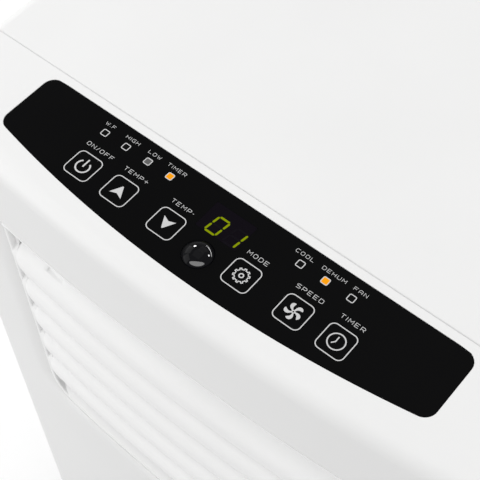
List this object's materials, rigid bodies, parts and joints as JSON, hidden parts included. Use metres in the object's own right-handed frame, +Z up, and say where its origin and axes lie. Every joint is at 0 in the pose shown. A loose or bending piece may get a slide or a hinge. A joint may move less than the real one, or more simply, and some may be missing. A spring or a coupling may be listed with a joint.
{
  "type": "portable air conditioner",
  "caption": "Free-standing portable air conditioner and dehumidifier: bowed white case on castors, slatted front outlet, flat black key panel on top, rear hose collar.",
  "frame": {"origin": "on the floor, under the middle of the bounding box of the whole appliance", "axes": "+Z up, the bowed front with the air outlet faces -Y, +X is the right side seen from the front"},
  "size_m": [0.44, 0.34, 0.7155],
  "materials": {
    "white_case": "satin white moulded ABS",
    "white_louvre": "satin white moulded ABS",
    "black_panel": "smooth black printed film",
    "smoked_window": "polished smoked plastic",
    "clear_guide": "milky clear plastic",
    "circuit_board": "solder-resist green",
    "grey_plastic": "moulded grey plastic",
    "fan_plastic": "moulded dark plastic",
    "coil_metal": "bare aluminium fins",
    "motor_steel": "plated steel",
    "compressor_black": "black paint",
    "copper_pipe": "bare copper",
    "galvanised": "galvanised sheet",
    "filter_mesh": "grey mesh in a moulded frame",
    "rubber_black": "matt black rubber"
  },
  "bodies": {
    "case": {"base_pan": "grey_plastic", "front_cover": "white_case", "top_cover": "white_case", "left_side_panel": "white_case", "right_side_panel": "white_case", "rear_panel": "white_case", "left_handle_cup": "white_case", "right_handle_cup": "white_case", "upper_intake_grille": "white_case", "lower_intake_grille": "white_case", "control_overlay": "black_panel", "display_window": "smoked_window", "remote_receiver_dome": "smoked_window", "lamp_light_guide": "clear_guide", "digit_display": "grey_plastic", "display_board": "circuit_board", "control_tray": "grey_plastic", "outlet_frame": "white_louvre", "swing_motor": "grey_plastic", "evaporator_coil": "coil_metal", "evaporator_fan_housing": "grey_plastic", "evaporator_fan_motor": "motor_steel", "condenser_coil": "coil_metal", "condenser_fan_housing": "grey_plastic", "condenser_fan_motor": "motor_steel", "compressor": "compressor_black", "suction_pipe": "copper_pipe", "mid_deck": "grey_plastic", "electrical_box": "galvanised", "main_board": "circuit_board", "run_capacitor": "galvanised", "exhaust_collar": "white_case", "cord_gland": "rubber_black"},
    "louvre_slat_1": {"louvre_slat_1": "white_louvre"},
    "louvre_slat_2": {"louvre_slat_2": "white_louvre"},
    "louvre_slat_3": {"louvre_slat_3": "white_louvre"},
    "louvre_slat_4": {"louvre_slat_4": "white_louvre"},
    "louvre_slat_5": {"louvre_slat_5": "white_louvre"},
    "louvre_link_bar": {"louvre_link_bar": "grey_plastic"},
    "power_key": {"power_key": "black_panel"},
    "temperature_up_key": {"temperature_up_key": "black_panel"},
    "temperature_down_key": {"temperature_down_key": "black_panel"},
    "mode_key": {"mode_key": "black_panel"},
    "speed_key": {"speed_key": "black_panel"},
    "timer_key": {"timer_key": "black_panel"},
    "evaporator_fan_wheel": {"evaporator_fan_wheel": "fan_plastic"},
    "condenser_fan_wheel": {"condenser_fan_wheel": "fan_plastic"},
    "float_arm": {"float_arm": "fan_plastic"},
    "upper_filter": {"upper_filter": "filter_mesh"},
    "lower_filter": {"lower_filter": "filter_mesh"},
    "upper_drain_plug": {"upper_drain_plug": "rubber_black"},
    "lower_drain_plug": {"lower_drain_plug": "rubber_black"},
    "front_left_castor_fork": {"front_left_castor_fork": "grey_plastic"},
    "front_left_castor_wheel": {"front_left_castor_wheel": "rubber_black"},
    "front_right_castor_fork": {"front_right_castor_fork": "grey_plastic"},
    "front_right_castor_wheel": {"front_right_castor_wheel": "rubber_black"},
    "rear_left_castor_fork": {"rear_left_castor_fork": "grey_plastic"},
    "rear_left_castor_wheel": {"rear_left_castor_wheel": "rubber_black"},
    "rear_right_castor_fork": {"rear_right_castor_fork": "grey_plastic"},
    "rear_right_castor_wheel": {"rear_right_castor_wheel": "rubber_black"}
  },
  "joints": [
    {"name": "louvre_slat_1_hinge", "type": "hinge", "parent": "case", "child": "louvre_slat_1", "pos_m": [0, -0.15109, 0.587], "axis": [1, 0, 0], "range_deg": [-45, 0]},
    {"name": "louvre_slat_2_hinge", "type": "hinge", "parent": "case", "child": "louvre_slat_2", "pos_m": [0, -0.15109, 0.5497], "axis": [1, 0, 0], "range_deg": [-45, 0]},
    {"name": "louvre_slat_3_hinge", "type": "hinge", "parent": "case", "child": "louvre_slat_3", "pos_m": [0, -0.15109, 0.5124], "axis": [1, 0, 0], "range_deg": [-45, 0]},
    {"name": "louvre_slat_4_hinge", "type": "hinge", "parent": "case", "child": "louvre_slat_4", "pos_m": [0, -0.15109, 0.4751], "axis": [1, 0, 0], "range_deg": [-45, 0]},
    {"name": "louvre_slat_5_hinge", "type": "hinge", "parent": "case", "child": "louvre_slat_5", "pos_m": [0, -0.15109, 0.4378], "axis": [1, 0, 0], "range_deg": [-45, 0]},
    {"name": "louvre_link_hinge", "type": "hinge", "parent": "louvre_slat_1", "child": "louvre_link_bar", "pos_m": [-0.1215, -0.12709, 0.597], "axis": [1, 0, 0], "range_deg": [0, 45]},
    {"name": "power_key_press", "type": "slide", "parent": "case", "child": "power_key", "axis": [0, 0, -1], "range_m": [0, 0.0008], "stiffness_N_per_m": 1800, "springref_m": -0.0002},
    {"name": "temperature_up_key_press", "type": "slide", "parent": "case", "child": "temperature_up_key", "axis": [0, 0, -1], "range_m": [0, 0.0008], "stiffness_N_per_m": 1800, "springref_m": -0.0002},
    {"name": "temperature_down_key_press", "type": "slide", "parent": "case", "child": "temperature_down_key", "axis": [0, 0, -1], "range_m": [0, 0.0008], "stiffness_N_per_m": 1800, "springref_m": -0.0002},
    {"name": "mode_key_press", "type": "slide", "parent": "case", "child": "mode_key", "axis": [0, 0, -1], "range_m": [0, 0.0008], "stiffness_N_per_m": 1800, "springref_m": -0.0002},
    {"name": "speed_key_press", "type": "slide", "parent": "case", "child": "speed_key", "axis": [0, 0, -1], "range_m": [0, 0.0008], "stiffness_N_per_m": 1800, "springref_m": -0.0002},
    {"name": "timer_key_press", "type": "slide", "parent": "case", "child": "timer_key", "axis": [0, 0, -1], "range_m": [0, 0.0008], "stiffness_N_per_m": 1800, "springref_m": -0.0002},
    {"name": "evaporator_fan_spin", "type": "hinge", "parent": "case", "child": "evaporator_fan_wheel", "pos_m": [0, -0.008, 0.54], "axis": [1, 0, 0], "continuous": true},
    {"name": "condenser_fan_spin", "type": "hinge", "parent": "case", "child": "condenser_fan_wheel", "pos_m": [-0.06, 0.05, 0.15], "axis": [0, 1, 0], "continuous": true},
    {"name": "float_arm_hinge", "type": "hinge", "parent": "case", "child": "float_arm", "pos_m": [-0.142, -0.06, 0.08], "axis": [0, 1, 0], "range_deg": [0, 20]},
    {"name": "upper_filter_slide", "type": "slide", "parent": "case", "child": "upper_filter", "axis": [1, 0, 0], "range_m": [0, 0.3]},
    {"name": "lower_filter_slide", "type": "slide", "parent": "case", "child": "lower_filter", "axis": [1, 0, 0], "range_m": [0, 0.3]},
    {"name": "upper_drain_plug_pull", "type": "slide", "parent": "case", "child": "upper_drain_plug", "axis": [0, 1, 0], "range_m": [0, 0.018]},
    {"name": "lower_drain_plug_pull", "type": "slide", "parent": "case", "child": "lower_drain_plug", "axis": [0, 1, 0], "range_m": [0, 0.018]},
    {"name": "front_left_castor_swivel", "type": "hinge", "parent": "case", "child": "front_left_castor_fork", "pos_m": [-0.17, -0.12, 0.05], "axis": [0, 0, 1], "continuous": true},
    {"name": "front_left_castor_roll", "type": "hinge", "parent": "front_left_castor_fork", "child": "front_left_castor_wheel", "pos_m": [-0.17, -0.104, 0.02], "axis": [1, 0, 0], "continuous": true},
    {"name": "front_right_castor_swivel", "type": "hinge", "parent": "case", "child": "front_right_castor_fork", "pos_m": [0.17, -0.12, 0.05], "axis": [0, 0, 1], "continuous": true},
    {"name": "front_right_castor_roll", "type": "hinge", "parent": "front_right_castor_fork", "child": "front_right_castor_wheel", "pos_m": [0.17, -0.104, 0.02], "axis": [1, 0, 0], "continuous": true},
    {"name": "rear_left_castor_swivel", "type": "hinge", "parent": "case", "child": "rear_left_castor_fork", "pos_m": [-0.17, 0.112, 0.05], "axis": [0, 0, 1], "continuous": true},
    {"name": "rear_left_castor_roll", "type": "hinge", "parent": "rear_left_castor_fork", "child": "rear_left_castor_wheel", "pos_m": [-0.17, 0.128, 0.02], "axis": [1, 0, 0], "continuous": true},
    {"name": "rear_right_castor_swivel", "type": "hinge", "parent": "case", "child": "rear_right_castor_fork", "pos_m": [0.17, 0.112, 0.05], "axis": [0, 0, 1], "continuous": true},
    {"name": "rear_right_castor_roll", "type": "hinge", "parent": "rear_right_castor_fork", "child": "rear_right_castor_wheel", "pos_m": [0.17, 0.128, 0.02], "axis": [1, 0, 0], "continuous": true}
  ],
  "couplings": [
    {"joint": "louvre_slat_2_hinge", "follows": "louvre_slat_1_hinge", "ratio": 1},
    {"joint": "louvre_slat_3_hinge", "follows": "louvre_slat_1_hinge", "ratio": 1},
    {"joint": "louvre_slat_4_hinge", "follows": "louvre_slat_1_hinge", "ratio": 1},
    {"joint": "louvre_slat_5_hinge", "follows": "louvre_slat_1_hinge", "ratio": 1},
    {"joint": "louvre_link_hinge", "follows": "louvre_slat_1_hinge", "ratio": -1}
  ]
}
